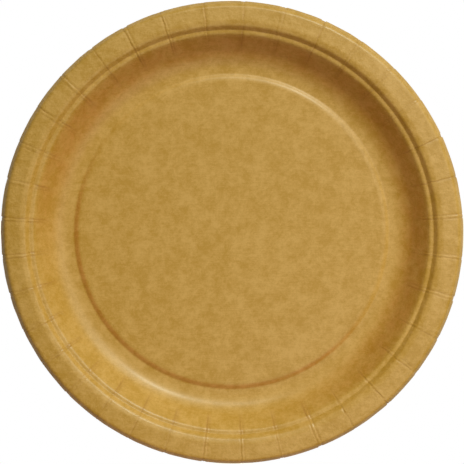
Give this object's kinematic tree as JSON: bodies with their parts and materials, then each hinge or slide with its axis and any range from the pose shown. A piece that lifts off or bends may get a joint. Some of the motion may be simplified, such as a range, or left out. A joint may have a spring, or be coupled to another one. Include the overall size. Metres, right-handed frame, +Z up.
{
  "type": "paper plate",
  "caption": "Round pressed paperboard plate with a raised flat middle, a sloping side, a small step and a pleated rim that turns down at its edge, for serving food.",
  "frame": {"origin": "on the plate's centre line, in the plane of the foot ring that it rests on", "axes": "+Z up out of the plate along its centre line; +X to the right and +Y to the top of the picture"},
  "size_m": [0.2291, 0.2294, 0.0159],
  "materials": {
    "kraft_board": "satin"
  },
  "bodies": {
    "root": {"plate": "kraft_board"}
  },
  "joints": []
}
